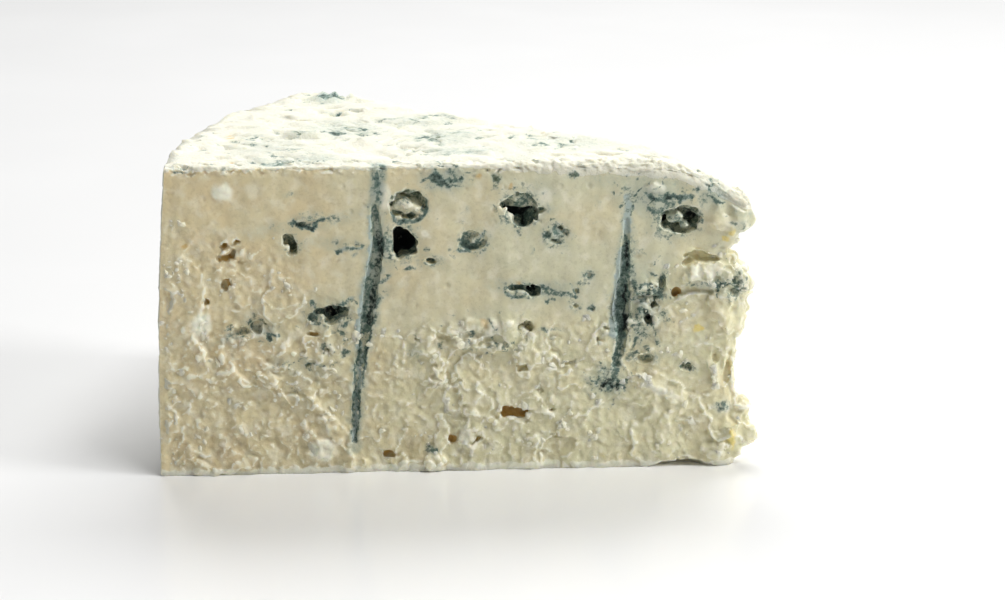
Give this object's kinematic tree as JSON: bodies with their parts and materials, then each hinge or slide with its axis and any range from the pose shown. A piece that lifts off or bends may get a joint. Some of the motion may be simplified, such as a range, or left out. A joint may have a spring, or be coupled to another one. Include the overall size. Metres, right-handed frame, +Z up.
{
  "type": "blue cheese wedge",
  "caption": "Wedge of soft blue-veined cheese with a pale rind on its top and curved rim, torn cut faces, mould pockets and a flat underside.",
  "frame": {"origin": "bottom centre of the bounding box, on the plane the wedge stands on", "axes": "+X along the long cut towards the blunt tip, -Y out of the long cut, +Z up"},
  "size_m": [0.1436, 0.0882, 0.076],
  "materials": {
    "cream_paste": "moist cream paste with blue-green mould, and a powdery off-white rind on the top and the rim"
  },
  "bodies": {
    "root": {"cheese_wedge": "cream_paste"}
  },
  "joints": []
}
